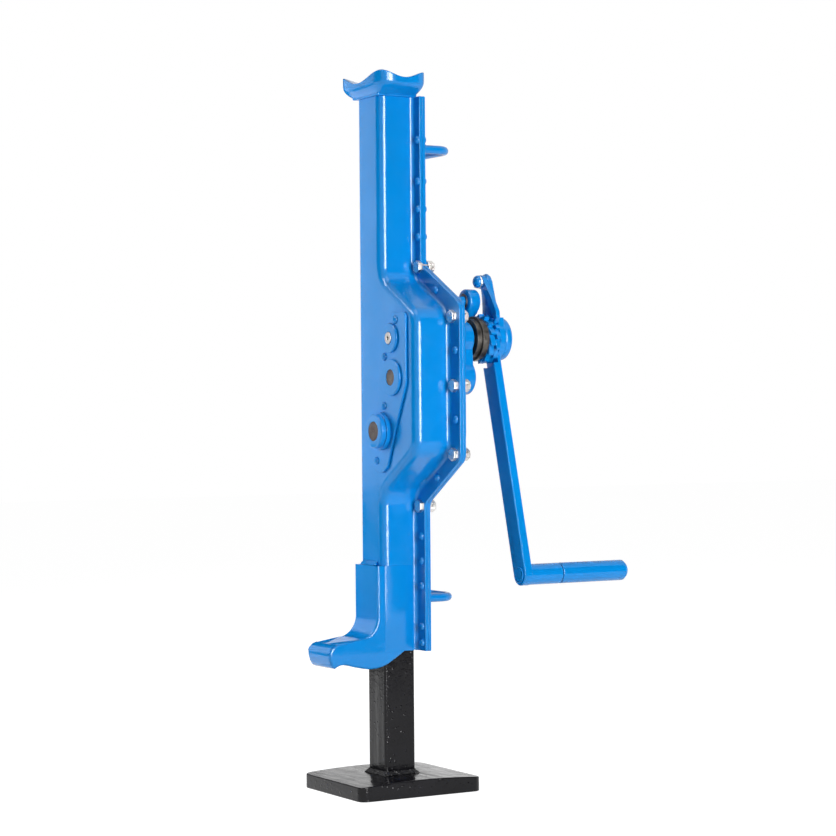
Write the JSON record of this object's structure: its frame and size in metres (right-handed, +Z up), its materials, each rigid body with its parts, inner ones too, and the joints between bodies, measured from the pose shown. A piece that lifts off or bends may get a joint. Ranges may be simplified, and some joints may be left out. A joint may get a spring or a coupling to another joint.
{
  "type": "rack jack",
  "caption": "Hand-cranked rack jack: a housing with a crown head and toe claw climbs a toothed rack on a foot plate.",
  "frame": {"origin": "centre of the foot plate's underside, on the rack's centre line", "axes": "+Z up along the rack, -Y towards the toe claw, +Y towards the crank, +X towards the gear bulge"},
  "size_m": [0.2085, 0.3374, 0.832],
  "materials": {
    "blue_enamel": "gloss enamel",
    "black_enamel": "gloss enamel",
    "dark_steel": "oiled",
    "bare_steel": "turned",
    "bush_bronze": "machined",
    "zinc": "bright zinc"
  },
  "bodies": {
    "rack": {"rack_bar": "black_enamel", "foot_plate": "black_enamel", "foot_weld": "black_enamel"},
    "housing": {"front_shell": "blue_enamel", "back_cover": "blue_enamel", "crown_head": "blue_enamel", "toe_claw": "blue_enamel", "claw_weld": "blue_enamel", "front_bearing_plate": "blue_enamel", "drive_shaft_front_bush": "blue_enamel", "second_shaft_front_bush": "blue_enamel", "pinion_shaft_front_bush": "blue_enamel", "rear_bearing_block": "blue_enamel", "drive_shaft_rear_bush": "bush_bronze", "second_shaft_rear_bush": "bush_bronze", "pinion_shaft_rear_bearing": "blue_enamel", "lower_rack_guide": "dark_steel", "rack_thrust_block": "dark_steel", "upper_carrying_handle": "blue_enamel", "lower_carrying_handle": "blue_enamel", "cover_bolts": "zinc", "cover_washers": "zinc", "cover_nuts": "zinc", "flange_rivets": "blue_enamel", "bearing_plate_rivets": "blue_enamel", "holding_pawl_pin": "blue_enamel", "holding_pawl_clips": "bare_steel"},
    "crank": {"drive_shaft": "bare_steel", "drive_shaft_end_screw": "zinc", "brake_flange": "dark_steel", "front_friction_disc": "dark_steel", "rear_friction_disc": "dark_steel", "holding_ratchet": "dark_steel", "ratchet_spacer": "dark_steel", "drive_ratchet": "blue_enamel", "crank_arm": "blue_enamel", "crank_cap": "blue_enamel", "handle_spindle": "blue_enamel", "handle_collar": "blue_enamel", "grip_end_washer": "blue_enamel", "drive_pawl_stud": "blue_enamel"},
    "second_stage": {"second_shaft": "bare_steel", "second_gear": "dark_steel", "second_gear_key": "dark_steel"},
    "rack_pinion": {"rack_pinion_shaft": "bare_steel", "final_gear": "dark_steel", "final_gear_key": "dark_steel"},
    "holding_pawl": {"holding_pawl": "blue_enamel"},
    "drive_pawl": {"drive_pawl": "blue_enamel"},
    "grip": {"grip_sleeve": "blue_enamel"}
  },
  "joints": [
    {"name": "lift", "type": "slide", "parent": "rack", "child": "housing", "axis": [0, 0, 1], "range_m": [-0.115, 0.235]},
    {"name": "crank_turn", "type": "hinge", "parent": "housing", "child": "crank", "pos_m": [0.055, 0, 0.52304], "axis": [0, -1, 0], "range_deg": [-5792, 11836]},
    {"name": "second_stage_turn", "type": "hinge", "parent": "housing", "child": "second_stage", "pos_m": [0.058, 0, 0.47814], "axis": [0, -1, 0], "range_deg": [-2960, 1449]},
    {"name": "rack_pinion_turn", "type": "hinge", "parent": "housing", "child": "rack_pinion", "pos_m": [0.0325, 0, 0.417], "axis": [0, -1, 0], "range_deg": [-471, 962]},
    {"name": "holding_pawl_swing", "type": "hinge", "parent": "housing", "child": "holding_pawl", "pos_m": [0.039, 0, 0.56699], "axis": [0, 1, 0], "range_deg": [0, 25]},
    {"name": "drive_pawl_swing", "type": "hinge", "parent": "crank", "child": "drive_pawl", "pos_m": [0.04502, 0, 0.58979], "axis": [0, -1, 0], "range_deg": [0, 18]},
    {"name": "grip_turn", "type": "hinge", "parent": "crank", "child": "grip", "pos_m": [0.12606, 0, 0.25221], "axis": [0, 1, 0], "continuous": true}
  ],
  "couplings": [
    {"joint": "lift", "follows": "crank_turn", "m_per_rad": 0.0011375},
    {"joint": "second_stage_turn", "follows": "crank_turn", "ratio": -0.25},
    {"joint": "rack_pinion_turn", "follows": "crank_turn", "ratio": 0.08125}
  ]
}
